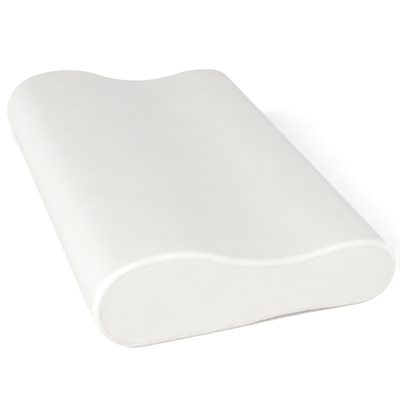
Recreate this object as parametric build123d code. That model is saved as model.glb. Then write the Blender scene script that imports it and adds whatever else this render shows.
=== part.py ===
from build123d import *
import os
from collections import namedtuple
from math import hypot, sqrt

# Contour bed pillow: a wave-shaped foam core in a thin liner, in a zipped cover.
# X runs along the pillow, +Z is up, z = 0 is the bed, and the high lobe is on the -Y side.
# The zip lies along the nose of the low lobe, on the +Y side. Everything is in millimetres.

# Pillow outline
LENGTH = 496.0
DEPTH = 320.0
VALLEY_HEIGHT = 71.5
HIGH_LOBE_RISE = 29.5
LOW_LOBE_RISE = 6.5
HIGH_NOSE_RADIUS = 49.0
LOW_NOSE_RADIUS = 38.0
HIGH_CROWN_RADIUS = 128.0
LOW_CROWN_RADIUS = 130.0
END_EDGE_RADIUS = 6.0
ARCH_RISE = 4.0
FLAT_STRIP_WIDTH = 80.0

# Layers
COVER_THICKNESS = 1.4
LINER_THICKNESS = 0.5
LAYER_GAP = 0.1
SEAM_THREAD_WIDTH = 1.0
SEAM_THREAD_DEPTH = 0.5
LINER_THREAD_WIDTH = 0.8
LINER_THREAD_DEPTH = 0.2
STITCH_RADIUS = 0.25

# Zip
ZIP_OPENING_LENGTH = 400.0
ZIP_END_MARGIN = 1.5
TAPE_THICKNESS = 0.6
TAPE_TAIL = 10.0
HEM_WIDTH = 8.0
HEM_STITCH_INSET = 2.0
COIL_WIDTH = 2.2
COIL_HEIGHT = 2.3
COIL_EDGE_RADIUS = 0.8
TOP_STOP_LENGTH = 3.0
BOTTOM_STOP_LENGTH = 4.0
STOP_EXTRA = 0.6

# Slider and pull
SLIDER_LENGTH = 11.0
SLIDER_CORNER_RADIUS = 2.2
SLIDER_CLEARANCE = 0.3
SLIDER_SIDE_ROOM = 0.5
PLATE_THICKNESS = 1.1
FLANGE_THICKNESS = 1.2
FLANGE_LENGTH = 8.0
POST_WIDTH = 1.0
POST_LENGTH = 3.0
BAIL_LENGTH = 7.2
BAIL_WIDTH = 2.0
BAIL_THICKNESS = 0.9
PIN_RADIUS = 0.65
PIN_CLEARANCE = 0.2
PULL_LENGTH = 25.0
PULL_WIDTH = 7.0
PULL_THICKNESS = 1.2
PULL_SIDE_CLEARANCE = 0.35
PULL_HOLE_RADIUS = 1.4

# Care label
LABEL_WIDTH = 22.0
LABEL_HEIGHT = 34.0
LABEL_THICKNESS = 0.3
LABEL_STITCH_INSET = 2.5

# Outline, worked out from the sizes above
high_top = VALLEY_HEIGHT + HIGH_LOBE_RISE
low_top = VALLEY_HEIGHT + LOW_LOBE_RISE
high_nose_radius = min(HIGH_NOSE_RADIUS, 0.49 * high_top)
low_nose_radius = min(LOW_NOSE_RADIUS, 0.49 * low_top)
high_nose_y = -DEPTH / 2 + high_nose_radius
low_nose_y = DEPTH / 2 - low_nose_radius
end_x = LENGTH / 2

# Zip, worked out in the section: heights from the nose's centre, reaches outward from it
zip_z = low_nose_radius
tape_outer_reach = low_nose_radius - 2 * COVER_THICKNESS - LAYER_GAP
tape_inner_reach = tape_outer_reach - TAPE_THICKNESS
coil_inner_half = POST_WIDTH / 2 + SLIDER_CLEARANCE
coil_outer_half = coil_inner_half + COIL_WIDTH
flange_inner_half = coil_outer_half + SLIDER_CLEARANCE
slider_half = flange_inner_half + FLANGE_THICKNESS
opening_half = slider_half + SLIDER_SIDE_ROOM
tape_half = opening_half + HEM_WIDTH
coil_base_reach = tape_outer_reach + LAYER_GAP
coil_top_reach = coil_base_reach + COIL_HEIGHT
top_plate_reach = coil_top_reach + SLIDER_CLEARANCE
bail_base_reach = top_plate_reach + PLATE_THICKNESS
low_plate_top_reach = sqrt(tape_inner_reach**2 - slider_half**2) - SLIDER_CLEARANCE
low_plate_base_reach = low_plate_top_reach - PLATE_THICKNESS
tape_edge_reach = sqrt(tape_inner_reach**2 - tape_half**2)
liner_flat_reach = min(low_plate_base_reach - SLIDER_CLEARANCE, tape_edge_reach - LAYER_GAP)
pin_reach = bail_base_reach + PIN_CLEARANCE + PIN_RADIUS
bail_bar_reach = pin_reach + PIN_RADIUS + PIN_CLEARANCE
bail_corner = hypot(BAIL_LENGTH / 2, bail_bar_reach + BAIL_THICKNESS - pin_reach)

# Zip, worked out along X
coil_start_x = -ZIP_OPENING_LENGTH / 2 + ZIP_END_MARGIN + BOTTOM_STOP_LENGTH + LAYER_GAP
coil_end_x = ZIP_OPENING_LENGTH / 2 - ZIP_END_MARGIN - TOP_STOP_LENGTH - LAYER_GAP
slider_x = coil_end_x - SLIDER_CLEARANCE - SLIDER_LENGTH / 2
slider_travel = coil_end_x - coil_start_x - SLIDER_LENGTH - 2 * SLIDER_CLEARANCE

# A circle of the outline; a hollow one curves away from the foam
Circle = namedtuple("Circle", "y z radius hollow")


def crown(nose_y, nose_radius, radius, top, side):
    """The crown of a lobe, touching its nose and reaching the lobe's top height."""
    reach = sqrt((radius - nose_radius) ** 2 - (top - radius - nose_radius) ** 2)
    return Circle(nose_y + side * reach, top - radius, radius, False)


def valley_between(high, low):
    """The hollow circle that touches both crowns and has its lowest point at the valley height."""
    drop_high = HIGH_LOBE_RISE
    drop_low = LOW_LOBE_RISE
    span = low.y - high.y
    spread = span**2 - drop_low * (2 * low.radius - drop_low + drop_high - 2 * high.radius)
    away = spread / (span + sqrt(span**2 - (1 - drop_low / drop_high) * spread))
    radius = (away**2 / drop_high + drop_high - 2 * high.radius) / 2
    return Circle(high.y + away, VALLEY_HEIGHT + radius, radius, True)


def outline_circles():
    """Circles of the section, from the high nose over the top and back along the underside."""
    high_nose = Circle(high_nose_y, high_nose_radius, high_nose_radius, False)
    low_nose = Circle(low_nose_y, low_nose_radius, low_nose_radius, False)
    high_crown = crown(high_nose_y, high_nose_radius, HIGH_CROWN_RADIUS, high_top, 1)
    low_crown = crown(low_nose_y, low_nose_radius, LOW_CROWN_RADIUS, low_top, -1)
    valley = valley_between(high_crown, low_crown)
    arch_start = high_nose_y + FLAT_STRIP_WIDTH
    half = (low_nose_y - arch_start) / 2
    arch_radius = (half**2 + ARCH_RISE**2) / (4 * ARCH_RISE)
    low_shoulder = Circle(low_nose_y, arch_radius, arch_radius, False)
    arch = Circle(arch_start + half, ARCH_RISE - arch_radius, arch_radius, True)
    high_shoulder = Circle(arch_start, arch_radius, arch_radius, False)
    return [high_nose, high_crown, valley, low_crown, low_nose, low_shoulder, arch, high_shoulder]


def touching_point(first, second, offset):
    """Where two neighbouring circles touch once the outline has moved inward."""
    start, aim = first, second
    if first.hollow or (not second.hollow and second.radius > first.radius):
        start, aim = second, first
    distance = hypot(aim.y - start.y, aim.z - start.z)
    reach = (start.radius - offset) / distance
    return (start.y + (aim.y - start.y) * reach, start.z + (aim.z - start.z) * reach)


def arc(circle, start, end, offset):
    """The shorter arc of a circle between two points on it."""
    radius = circle.radius + (offset if circle.hollow else -offset)
    across = (start[0] + end[0] - 2 * circle.y, start[1] + end[1] - 2 * circle.z)
    reach = radius / hypot(*across)
    return ThreePointArc(start, (circle.y + across[0] * reach, circle.z + across[1] * reach), end)


def section(offset):
    """The pillow's closed section in the YZ plane, moved inward by an offset."""
    circles = outline_circles()
    points = [(circles[0].y, offset)]
    for first, second in zip(circles, circles[1:]):
        points.append(touching_point(first, second, offset))
    points.append((circles[-1].y, offset))
    edges = [arc(c, a, b, offset) for c, a, b in zip(circles, points, points[1:])]
    edges.append(Line(points[-1], points[0]))
    return Plane.YZ * make_face(edges)


def rounded_body(offset):
    """The whole pillow moved inward by an offset, with its end edges rounded."""
    body = extrude(section(offset), end_x - offset, both=True)
    ends = body.faces().filter_by(Axis.X)
    return fillet(ends.edges(), END_EDGE_RADIUS - offset)


def zip_block(x_from, x_to, reach_from, reach_to, z_from, z_to):
    """A box placed by its X, its reach out from the low nose's centre and its height off the zip."""
    size = (x_to - x_from, reach_to - reach_from, z_to - z_from)
    middle = ((x_from + x_to) / 2, low_nose_y + (reach_from + reach_to) / 2, zip_z + (z_from + z_to) / 2)
    return Pos(*middle) * Box(*size)


def behind_zip(body, reach):
    """Trim a body flat under the zip, at a reach out from the low nose's centre."""
    away = zip_block(-LENGTH, LENGTH, reach, reach + DEPTH, -DEPTH, DEPTH)
    return body - away


def end_plate(offset, thickness, side):
    """A flat end panel, inside the seam line, with its outer face at an offset from the end."""
    outer_x = side * (end_x - offset)
    return Pos(outer_x, 0, 0) * extrude(section(END_EDGE_RADIUS), -side * thickness)


def seam_ring(inner_x, width, depth, side):
    """Overlock thread round the seam line, on the inner face of an end panel."""
    outer = section(END_EDGE_RADIUS - width / 2)
    inner = section(END_EDGE_RADIUS + width / 2)
    return Pos(side * inner_x, 0, 0) * extrude(outer - inner, side * depth)


def thread(radius, x_from, x_to, y, z):
    """A straight run of thread along X."""
    return Pos((x_from + x_to) / 2, y, z) * Rot(0, 90, 0) * Cylinder(radius, x_to - x_from)


def foam_core():
    offset = COVER_THICKNESS + LINER_THICKNESS + 2 * LAYER_GAP
    return behind_zip(rounded_body(offset), liner_flat_reach - LINER_THICKNESS - LAYER_GAP)


def liner_parts():
    """Liner wrap, two end panels, two overlock rings and the closing seam behind the zip."""
    outer_offset = COVER_THICKNESS + LAYER_GAP
    outer = behind_zip(rounded_body(outer_offset), liner_flat_reach)
    hollow = behind_zip(rounded_body(outer_offset + LINER_THICKNESS), liner_flat_reach - LINER_THICKNESS)
    wrap = outer - hollow
    parts = {}
    inner_x = end_x - outer_offset - LINER_THICKNESS
    for name, side in (("left", -1), ("right", 1)):
        plate = behind_zip(end_plate(outer_offset, LINER_THICKNESS, side), liner_flat_reach)
        ring = seam_ring(inner_x, LINER_THREAD_WIDTH, LINER_THREAD_DEPTH, side)
        ring = behind_zip(ring, liner_flat_reach - LINER_THREAD_DEPTH) & outer
        wrap = wrap - plate - ring
        parts[f"liner_end_{name}"] = plate - ring
        parts[f"liner_seam_{name}"] = ring
    parts["liner_wrap"] = wrap
    seam_y = low_nose_y + liner_flat_reach + LAYER_GAP + STITCH_RADIUS
    seam_end = end_x - outer_offset - END_EDGE_RADIUS
    seam_z = zip_z - opening_half - HEM_WIDTH / 3
    parts["liner_closing_seam"] = thread(STITCH_RADIUS, -seam_end, seam_end, seam_y, seam_z)
    return parts


def cover_hem():
    """The cover's turned-in edges, one on each side of the zip."""
    hem_section = section(COVER_THICKNESS) - section(2 * COVER_THICKNESS)
    ring = extrude(hem_section, ZIP_OPENING_LENGTH / 2, both=True)
    reach = low_nose_radius
    upper = zip_block(-end_x, end_x, reach / 2, 2 * reach, opening_half, tape_half)
    lower = zip_block(-end_x, end_x, reach / 2, 2 * reach, -tape_half, -opening_half)
    return (ring & upper) + (ring & lower)


def cover_parts():
    """Cover wrap with the zip's opening in it, two end panels and two overlock rings."""
    opening_end = ZIP_OPENING_LENGTH / 2
    reach = low_nose_radius
    opening = zip_block(-opening_end, opening_end, reach / 2, 2 * reach, -opening_half, opening_half)
    wrap = rounded_body(0) - rounded_body(COVER_THICKNESS) - opening + cover_hem()
    parts = {}
    inner_x = end_x - COVER_THICKNESS
    for name, side in (("left", -1), ("right", 1)):
        plate = end_plate(0, COVER_THICKNESS, side)
        ring = seam_ring(inner_x, SEAM_THREAD_WIDTH, SEAM_THREAD_DEPTH, side)
        wrap = wrap - plate - ring
        parts[f"cover_end_{name}"] = plate - ring
        parts[f"cover_seam_{name}"] = ring
    parts["cover_wrap"] = wrap
    return parts


def zip_tape(side):
    """One woven tape, under the cover's hem and up to the slit between the coils."""
    tape_end = ZIP_OPENING_LENGTH / 2 + TAPE_TAIL
    outer = low_nose_radius - tape_outer_reach
    ring = extrude(section(outer) - section(outer + TAPE_THICKNESS), tape_end, both=True)
    low, high = sorted((side * coil_inner_half, side * tape_half))
    reach = low_nose_radius
    return ring & zip_block(-end_x, end_x, reach / 2, 2 * reach, low, high)


def zip_coil(side):
    """One row of nylon coil, as a solid of its outer shape."""
    middle_z = zip_z + side * (coil_inner_half + coil_outer_half) / 2
    middle_y = low_nose_y + (coil_base_reach + coil_top_reach) / 2
    shape = RectangleRounded(COIL_HEIGHT, COIL_WIDTH, COIL_EDGE_RADIUS)
    rod = extrude(Plane.YZ * shape, coil_end_x - coil_start_x)
    return Pos(coil_start_x, middle_y, middle_z) * rod


def hem_stitch(side):
    """The line of thread that holds the cover's hem to a tape, on the cover's face."""
    height = opening_half + HEM_STITCH_INSET
    reach = sqrt((low_nose_radius + LAYER_GAP + STITCH_RADIUS) ** 2 - height**2)
    stitch_end = ZIP_OPENING_LENGTH / 2
    return thread(STITCH_RADIUS, -stitch_end, stitch_end, low_nose_y + reach, zip_z + side * height)


def top_stops():
    """A clamped stop at the closed end of each coil row."""
    stops = []
    for side in (-1, 1):
        low, high = sorted((side * coil_inner_half, side * (coil_outer_half + STOP_EXTRA)))
        start = coil_end_x + LAYER_GAP
        top = coil_top_reach + STOP_EXTRA
        block = zip_block(start, start + TOP_STOP_LENGTH, coil_base_reach, top, low, high)
        stops.append(fillet(block.edges().filter_by(Axis.X), STOP_EXTRA / 2))
    return Compound(children=stops)


def bottom_stop():
    """The stop across both rows at the open end."""
    half = coil_outer_half + STOP_EXTRA
    end = coil_start_x - LAYER_GAP
    top = coil_top_reach + STOP_EXTRA
    block = zip_block(end - BOTTOM_STOP_LENGTH, end, coil_base_reach, top, -half, half)
    return fillet(block.edges().filter_by(Axis.X), STOP_EXTRA)


def slider_plate(reach):
    """A plate of the slider, facing +Y, with rounded corners."""
    outline = RectangleRounded(SLIDER_LENGTH, 2 * slider_half, SLIDER_CORNER_RADIUS)
    plate = extrude(Plane.XZ * outline, -PLATE_THICKNESS)
    return Pos(slider_x, low_nose_y + reach, zip_z) * plate


def slider_bail():
    """The bridge on the top plate that the pull hangs from."""
    half = BAIL_LENGTH / 2
    top = bail_bar_reach + BAIL_THICKNESS
    overlap = PLATE_THICKNESS / 2
    block = zip_block(
        slider_x - half, slider_x + half, bail_base_reach - overlap, top, -BAIL_WIDTH / 2, BAIL_WIDTH / 2
    )
    block = fillet(block.edges().filter_by(Axis.Z).group_by(Axis.Y)[-1], BAIL_THICKNESS)
    inside = half - BAIL_THICKNESS
    window = zip_block(
        slider_x - inside, slider_x + inside, bail_base_reach, bail_bar_reach, -BAIL_WIDTH, BAIL_WIDTH
    )
    return block - window


def zip_slider():
    """Two plates round the closed coils, joined by the post between the rows."""
    post_end = slider_x + SLIDER_LENGTH / 2 - SLIDER_CLEARANCE
    post = zip_block(
        post_end - POST_LENGTH,
        post_end,
        low_plate_top_reach - PLATE_THICKNESS / 2,
        top_plate_reach + PLATE_THICKNESS / 2,
        -POST_WIDTH / 2,
        POST_WIDTH / 2,
    )
    slider = slider_plate(low_plate_base_reach) + slider_plate(top_plate_reach) + post + slider_bail()
    flange_tip = tape_outer_reach + SLIDER_CLEARANCE
    for side in (-1, 1):
        low, high = sorted((side * flange_inner_half, side * slider_half))
        slider += zip_block(
            slider_x - FLANGE_LENGTH / 2,
            slider_x + FLANGE_LENGTH / 2,
            flange_tip,
            top_plate_reach + PLATE_THICKNESS / 2,
            low,
            high,
        )
    return slider


def zip_pull():
    """A plain metal tab with a cross pin under the slider's bail, lying back along the coils."""
    window_half = BAIL_WIDTH / 2 + PULL_SIDE_CLEARANCE
    window_end = bail_corner + PIN_CLEARANCE + PULL_SIDE_CLEARANCE
    outline = Plane.XZ * RectangleRounded(PULL_LENGTH, PULL_WIDTH, PULL_WIDTH / 4)
    tab = extrude(outline, PULL_THICKNESS / 2, both=True)
    tab = Pos(-PULL_LENGTH / 2 + PIN_RADIUS, 0, 0) * tab
    window = Pos(-window_end / 2, 0, 0) * Box(window_end, 2 * PULL_THICKNESS, 2 * window_half)
    nose = Pos(PIN_RADIUS, 0, 0) * Box(2 * PIN_RADIUS, 2 * PULL_THICKNESS, 2 * window_half)
    hole = Rot(90, 0, 0) * Cylinder(PULL_HOLE_RADIUS, 2 * PULL_THICKNESS)
    hole = Pos(-PULL_LENGTH + PULL_WIDTH / 2, 0, 0) * hole
    pull = tab - window - nose - hole + Cylinder(PIN_RADIUS, PULL_WIDTH - PULL_WIDTH / 2)
    return Pos(slider_x, low_nose_y + pin_reach, zip_z) * pull


def care_label():
    """A blank label that hangs from the seam of the left end panel, at the valley."""
    top = VALLEY_HEIGHT - END_EDGE_RADIUS
    middle_x = -end_x - LAYER_GAP - LABEL_THICKNESS / 2
    return Pos(middle_x, label_y, top - LABEL_HEIGHT / 2) * Box(LABEL_THICKNESS, LABEL_WIDTH, LABEL_HEIGHT)


def label_stitch():
    """The short line of thread across the top of the label."""
    x = -end_x - LAYER_GAP - LABEL_THICKNESS - LAYER_GAP / 2 - STITCH_RADIUS
    z = VALLEY_HEIGHT - END_EDGE_RADIUS - LABEL_STITCH_INSET
    return Pos(x, label_y, z) * Rot(90, 0, 0) * Cylinder(STITCH_RADIUS, LABEL_WIDTH)


label_y = outline_circles()[2].y

nodes = {"foam_core": foam_core()}
nodes.update(liner_parts())
nodes.update(cover_parts())
for row, side in (("upper", 1), ("lower", -1)):
    nodes[f"zip_tape_{row}"] = zip_tape(side)
    nodes[f"zip_coil_{row}"] = zip_coil(side)
    nodes[f"hem_stitch_{row}"] = hem_stitch(side)
nodes["zip_top_stops"] = top_stops()
nodes["zip_bottom_stop"] = bottom_stop()
nodes["zip_slider"] = zip_slider()
nodes["zip_pull"] = zip_pull()
nodes["care_label"] = care_label()
nodes["label_stitch"] = label_stitch()

os.makedirs("parts", exist_ok=True)
for name, shape in nodes.items():
    export_step(shape, f"parts/{name}.step")

print(f"slider at x = {slider_x:.2f}, travel {slider_travel:.2f}")
print(f"pull's pin at y = {low_nose_y + pin_reach:.2f}, z = {zip_z:.2f}")
for circle in outline_circles():
    print(f"outline circle y {circle.y:.2f} z {circle.z:.2f} radius {circle.radius:.2f}")
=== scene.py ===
# %% [markdown]
# # A contour bed pillow
#
# A contour pillow is a block of memory foam cut to a wave: a high lobe for sleeping on the back, a low
# lobe for sleeping on the side, and a valley between them for the head. The foam sits in a thin knitted
# liner, and the liner sits in a thicker knitted cover that zips along the nose of the low lobe.
#
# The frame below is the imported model. Everything here is in metres, +X runs along the pillow, +Z is up,
# the high lobe is on the -Y side and the zip is on the +Y side.

# %% Load the frame
import math
import random

import bpy
import numpy as np
from mathutils import Matrix, Vector
from mathutils.bvhtree import BVHTree


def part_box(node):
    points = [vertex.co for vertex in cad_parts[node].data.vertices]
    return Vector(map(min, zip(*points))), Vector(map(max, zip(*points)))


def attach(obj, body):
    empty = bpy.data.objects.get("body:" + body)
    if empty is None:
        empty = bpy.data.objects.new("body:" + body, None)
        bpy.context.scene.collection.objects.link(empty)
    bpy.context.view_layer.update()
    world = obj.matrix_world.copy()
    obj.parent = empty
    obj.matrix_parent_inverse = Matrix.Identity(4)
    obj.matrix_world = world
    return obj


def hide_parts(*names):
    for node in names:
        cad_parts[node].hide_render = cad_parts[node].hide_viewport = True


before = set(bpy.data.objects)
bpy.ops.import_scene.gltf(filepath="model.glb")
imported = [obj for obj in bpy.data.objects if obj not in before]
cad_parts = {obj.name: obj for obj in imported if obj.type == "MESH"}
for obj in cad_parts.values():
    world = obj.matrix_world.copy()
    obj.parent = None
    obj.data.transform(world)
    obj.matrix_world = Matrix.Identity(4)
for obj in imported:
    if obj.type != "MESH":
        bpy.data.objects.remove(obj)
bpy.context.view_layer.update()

MM = 0.001
rng = np.random.default_rng(7)

# %% [markdown]
# ## Sizes
#
# The length, depth and the high lobe's height come from the frame. The section is a chain of arcs that
# touch, so the only other sizes it needs are its radii, and the heights of the low lobe, the valley and the
# arch underneath.

# %% Sizes of the pillow
cover_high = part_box("cover_wrap")[1]
HALF_LENGTH = cover_high.x
HALF_DEPTH = cover_high.y
HIGH_TOP = cover_high.z
VALLEY_TOP = 71.5 * MM
LOW_TOP = 78 * MM
HIGH_NOSE = 49 * MM
LOW_NOSE = 38 * MM
HIGH_CROWN = 128 * MM
LOW_CROWN = 130 * MM
END_EDGE = 6 * MM
ARCH_RISE = 4 * MM
FLAT_STRIP = 80 * MM

COVER_WALL = 1.4 * MM
LINER_WALL = 0.5 * MM
LAYER_GAP = 0.1 * MM
OPENING_HALF = 5 * MM
OPENING_END = 200 * MM
HEM_WIDTH = 8 * MM
HEM_STITCH = 2 * MM
LINER_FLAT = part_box("liner_wrap")[1][1]
FOAM_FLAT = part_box("foam_core")[1][1]
print(f"pillow {2000 * HALF_LENGTH:.0f} x {2000 * HALF_DEPTH:.0f} x {1000 * HIGH_TOP:.0f} mm")

# %% [markdown]
# ## The section as one line that can be walked
#
# Every soft layer follows the same section at its own depth, so the section is kept as one closed line
# measured by the distance walked along it. Each place on it has a point and an outward direction, and a
# layer's surface is the point moved inward along that direction. The walk starts at the zip, on the nose
# of the low lobe, and goes over the top to the high lobe and back along the underside.

# %% Walk the section
def lobe_crown(nose_y, nose, radius, top, side):
    """Centre of a crown that touches its nose and reaches the lobe's top."""
    reach = math.sqrt((radius - nose) ** 2 - (top - radius - nose) ** 2)
    return np.array([nose_y + side * reach, top - radius])


def valley_centre(high, low):
    """Centre and radius of the hollow arc between the two crowns."""
    rise_high, rise_low = HIGH_TOP - VALLEY_TOP, LOW_TOP - VALLEY_TOP
    span = low[0] - high[0]
    spread = span**2 - rise_low * (2 * LOW_CROWN - rise_low + rise_high - 2 * HIGH_CROWN)
    away = spread / (span + math.sqrt(span**2 - (1 - rise_low / rise_high) * spread))
    radius = (away**2 / rise_high + rise_high - 2 * HIGH_CROWN) / 2
    return np.array([high[0] + away, VALLEY_TOP + radius]), radius


def section_pieces():
    """Arcs as (centre, radius, start angle, end angle) and the flat as two points, in walking order."""
    low_nose = np.array([HALF_DEPTH - LOW_NOSE, LOW_NOSE])
    high_nose = np.array([-HALF_DEPTH + HIGH_NOSE, HIGH_NOSE])
    low_crown = lobe_crown(low_nose[0], LOW_NOSE, LOW_CROWN, LOW_TOP, -1)
    high_crown = lobe_crown(high_nose[0], HIGH_NOSE, HIGH_CROWN, HIGH_TOP, 1)
    valley, valley_radius = valley_centre(high_crown, low_crown)
    arch_start = high_nose[0] + FLAT_STRIP
    half = (low_nose[0] - arch_start) / 2
    sweep = (half**2 + ARCH_RISE**2) / (4 * ARCH_RISE)
    shoulder = math.asin(half / (2 * sweep))

    def angle(a, b):
        return math.atan2(b[1] - a[1], b[0] - a[0])

    into_low_crown = angle(low_crown, low_nose)
    into_valley = angle(low_crown, valley)
    out_of_valley = angle(high_crown, valley)
    into_high_nose = angle(high_crown, high_nose)
    down = -math.pi / 2
    return [
        (low_nose, LOW_NOSE, 0.0, into_low_crown),
        (low_crown, LOW_CROWN, into_low_crown, into_valley),
        (valley, -valley_radius, into_valley, out_of_valley),
        (high_crown, HIGH_CROWN, out_of_valley, into_high_nose),
        (high_nose, HIGH_NOSE, into_high_nose, 3 * math.pi / 2),
        (np.array([high_nose[0], 0.0]), np.array([arch_start, 0.0])),
        (np.array([arch_start, sweep]), sweep, down, down + shoulder),
        (np.array([arch_start + half, ARCH_RISE - sweep]), -sweep, down + shoulder, down - shoulder),
        (np.array([low_nose[0], sweep]), sweep, down - shoulder, down),
        (low_nose, LOW_NOSE, down, 0.0),
    ]


def walk_section(step=0.25 * MM):
    """Dense walk of the section: distances, points and outward directions."""
    points, outward = [], []
    for piece in section_pieces():
        if len(piece) == 2:
            start, end = piece
            count = max(2, int(np.linalg.norm(end - start) / step))
            share = np.linspace(0, 1, count, endpoint=False)[:, None]
            points.append(start + (end - start) * share)
            outward.append(np.tile([0.0, -1.0], (count, 1)))
            continue
        centre, radius, begin, finish = piece
        count = max(2, int(abs(radius * (finish - begin)) / step))
        turn = np.linspace(begin, finish, count, endpoint=False)[:, None]
        direction = np.hstack([np.cos(turn), np.sin(turn)])
        points.append(centre + radius * direction)
        outward.append(direction)
    points, outward = np.vstack(points), np.vstack(outward)
    gaps = np.linalg.norm(np.roll(points, -1, axis=0) - points, axis=1)
    distance = np.concatenate([[0], np.cumsum(gaps)])
    return distance, np.vstack([points, points[:1]]), np.vstack([outward, outward[:1]])


walked, walk_points, walk_outward = walk_section()
AROUND = walked[-1]
OVER_TOP = walked[np.argmin(walk_points[:, 0])]
UNDERNEATH = AROUND - OVER_TOP


def on_section(distance):
    """Points and outward directions at distances walked from the zip."""
    distance = np.mod(distance, AROUND)
    point = np.stack([np.interp(distance, walked, walk_points[:, k]) for k in (0, 1)], axis=-1)
    out = np.stack([np.interp(distance, walked, walk_outward[:, k]) for k in (0, 1)], axis=-1)
    return point, out / np.linalg.norm(out, axis=-1, keepdims=True)


print(f"once round the section is {1000 * AROUND:.1f} mm, {1000 * OVER_TOP:.1f} mm of it over the top")


# %% [markdown]
# ## Places on a layer
#
# The tube part of a layer is the section carried along X. At each end the tube turns through a rounded
# edge into a flat panel. A panel has no natural rows and columns, so its columns start as rings inside
# the seam, and then run straight to a middle line, where each place over the top meets its partner from
# underneath. That keeps the mesh square to the seam, where the cloth gathers, and leaves no pole.

# %% Partners and the middle line
RING_DEPTH = 14 * MM
TUBE_END = HALF_LENGTH - END_EDGE
SEAM_WALK = TUBE_END + END_EDGE * math.pi / 2
MIDDLE_WALK = 30 * MM


def ease(share):
    """A smooth step from 0 to 1."""
    share = np.clip(share, 0, 1)
    return share * share * (3 - 2 * share)


def partner(distance):
    """How far back along the underside the partner of a place over the top lies."""
    margin = 20 * MM
    share = (distance - margin) / (OVER_TOP - 2 * margin)
    return distance + (UNDERNEATH - OVER_TOP) * ease(share)


# %% Rows and columns on a layer
def middle_line(distance):
    """The middle line's point for each distance walked round the section."""
    table = np.linspace(0, OVER_TOP, 2000)
    top = np.where(distance <= OVER_TOP, distance, np.interp(AROUND - distance, partner(table), table))
    upper, upper_out = on_section(top)
    lower, lower_out = on_section(AROUND - partner(top))
    return (upper + lower - RING_DEPTH * (upper_out + lower_out)) / 2


def place(distance, x, offset, reach):
    """Points at rows of distance and columns of x, offset inward and reach to the middle line."""
    point, out = on_section(distance)
    middle = middle_line(distance)
    ring = point[:, None] - out[:, None] * offset[None, :, None]
    ring = ring + (middle[:, None] - ring) * reach[None, :, None]
    across = np.broadcast_to(x[None, :, None], ring.shape[:2] + (1,))
    return np.concatenate([across, ring], axis=-1)


def rows_from(top):
    """Rows round the section from the distances over the top, each with its partner underneath."""
    top = np.asarray(top)
    return np.concatenate([top, AROUND - partner(top[1:-1])[::-1]])


def tidy_rows(special, spacing):
    """Special distances from the zip, then even rows to the nose of the high lobe."""
    count = math.ceil((OVER_TOP - special[-1]) / spacing)
    return rows_from(list(special[:-1]) + list(np.linspace(special[-1], OVER_TOP, count + 1)))


# %% [markdown]
# ## From a grid to a piece of cloth
#
# Cloth has two faces, so each piece is a grid of outer points and a grid of inner points with a rim
# wherever the grid ends. The grid may wrap round, may leave out cells where the zip opens it, and may
# share points along the middle line of a panel.

# %% Build a wall from two grids
def number(grid):
    """An index for each point of a grid."""
    rows, columns = grid.shape[:2]
    return np.arange(rows * columns).reshape(rows, columns)


def share_middle(index, column):
    """Let the rows underneath use the middle-line points of their partners over the top."""
    rows = index.shape[0]
    for row in range(rows // 2 + 1, rows):
        index[row, column] = index[rows - row, column]


def grid_cells(index, keep=None, closed=True):
    """Faces of a grid, as indices. A closed grid wraps round its rows."""
    below = np.roll(index, -1, axis=0)
    cells = np.stack([index[:, :-1], below[:, :-1], below[:, 1:], index[:, 1:]], axis=-1)
    if not closed:
        cells = cells[:-1]
    return cells.reshape(-1, 4) if keep is None else cells[keep]


# %% Join the two faces along their rims
def rim_edges(cells):
    """Edges that only one cell uses, in that cell's direction."""
    used = {}
    for cell in cells.tolist():
        for start, end in zip(cell, cell[1:] + cell[:1]):
            if (end, start) in used:
                del used[(end, start)]
            else:
                used[(start, end)] = True
    return list(used)


# %% Put a mesh in the scene
def put_in_scene(name, data):
    """An object at the origin that holds a mesh, a lamp or a camera."""
    thing = bpy.data.objects.new(name, data)
    bpy.context.scene.collection.objects.link(thing)
    return thing


def make_piece(name, points, faces, material, cloth=None, sharp=50):
    """A smooth mesh object at the origin. cloth gives each point's place on the flat cloth, as its UV."""
    faces = np.asarray(faces)
    used, faces = np.unique(faces, return_inverse=True)
    faces = faces.reshape(-1, 4)
    mesh = bpy.data.meshes.new(name)
    mesh.from_pydata(np.asarray(points)[used].tolist(), [], faces.tolist())
    mesh.shade_smooth()
    mesh.set_sharp_from_angle(angle=math.radians(sharp))
    mesh.materials.append(material)
    if cloth is not None:
        flat = np.asarray(cloth)[used][faces]
        wrapped = flat[..., 0].max(axis=1) - flat[..., 0].min(axis=1) > AROUND / 2
        flat[..., 0] += AROUND * (wrapped[:, None] & (flat[..., 0] < AROUND / 2))
        layer = mesh.uv_layers.new(name="cloth")
        layer.data.foreach_set("uv", flat.reshape(-1).astype(np.float32))
    print(f"{name}: {len(mesh.polygons)} faces")
    return put_in_scene(name, mesh)


# %% Make a piece of cloth
def wall_faces(outer_index, inner_index, keep=None, closed=True):
    """Outer cells, inner cells facing the other way, and the rim between them."""
    outer = grid_cells(outer_index, keep, closed)
    inner = grid_cells(inner_index, keep, closed)
    partner_of = dict(zip(outer_index.ravel().tolist(), inner_index.ravel().tolist()))
    rim = [[end, start, partner_of[start], partner_of[end]] for start, end in rim_edges(outer)]
    return np.concatenate([outer, inner[:, ::-1], np.array(rim)])


def spread(distance, across):
    """The place of each grid point on the flat cloth, as distance round and distance along."""
    return np.stack(np.broadcast_arrays(distance[:, None], across[None, :]), axis=-1).reshape(-1, 2)


def make_cloth(name, outer, inner, material, cloth=None, sharp=50, middle=None, **rules):
    """A piece of cloth from the grids of its two faces. A flat panel's own Y and Z are its UV."""
    index = number(outer)
    if middle is not None:
        share_middle(index, middle)
    faces = wall_faces(index, index + index.size, **rules)
    points = np.concatenate([outer.reshape(-1, 3), inner.reshape(-1, 3)])
    flat = points[:, 1:] if cloth is None else np.concatenate([cloth, cloth])
    return make_piece(name, points, faces, material, flat, sharp)


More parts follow.
